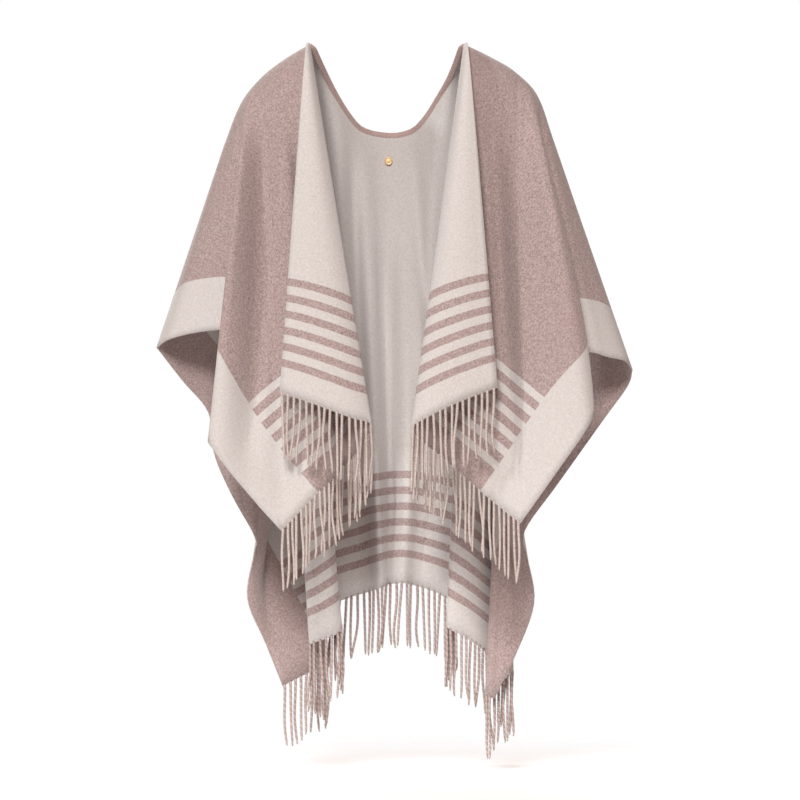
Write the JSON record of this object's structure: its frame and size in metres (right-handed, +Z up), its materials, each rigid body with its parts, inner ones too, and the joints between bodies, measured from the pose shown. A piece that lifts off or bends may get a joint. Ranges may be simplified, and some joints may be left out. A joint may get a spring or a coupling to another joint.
{
  "type": "cape",
  "caption": "Open-front fringed wool ruana as worn: lapels folded out, side edges falling over the elbows, twisted fringe on the front and back ends.",
  "frame": {"origin": "midway between the two neck points, level with the top of the shoulders", "axes": "+X to the wearer's left, +Y towards the back, +Z up"},
  "size_m": [0.6668, 0.3246, 1.0138],
  "materials": {
    "cape_cloth": "matte double-faced wool, heather mauve outside and cream inside",
    "binding": "matte wool",
    "brass_stud": "satin",
    "fringe_yarn": "twisted wool yarn"
  },
  "bodies": {
    "root": {"cloth": "cape_cloth", "neck_binding": "binding", "neck_stud": "brass_stud", "fringe_left": "fringe_yarn", "fringe_right": "fringe_yarn", "fringe_back": "fringe_yarn"}
  },
  "joints": []
}
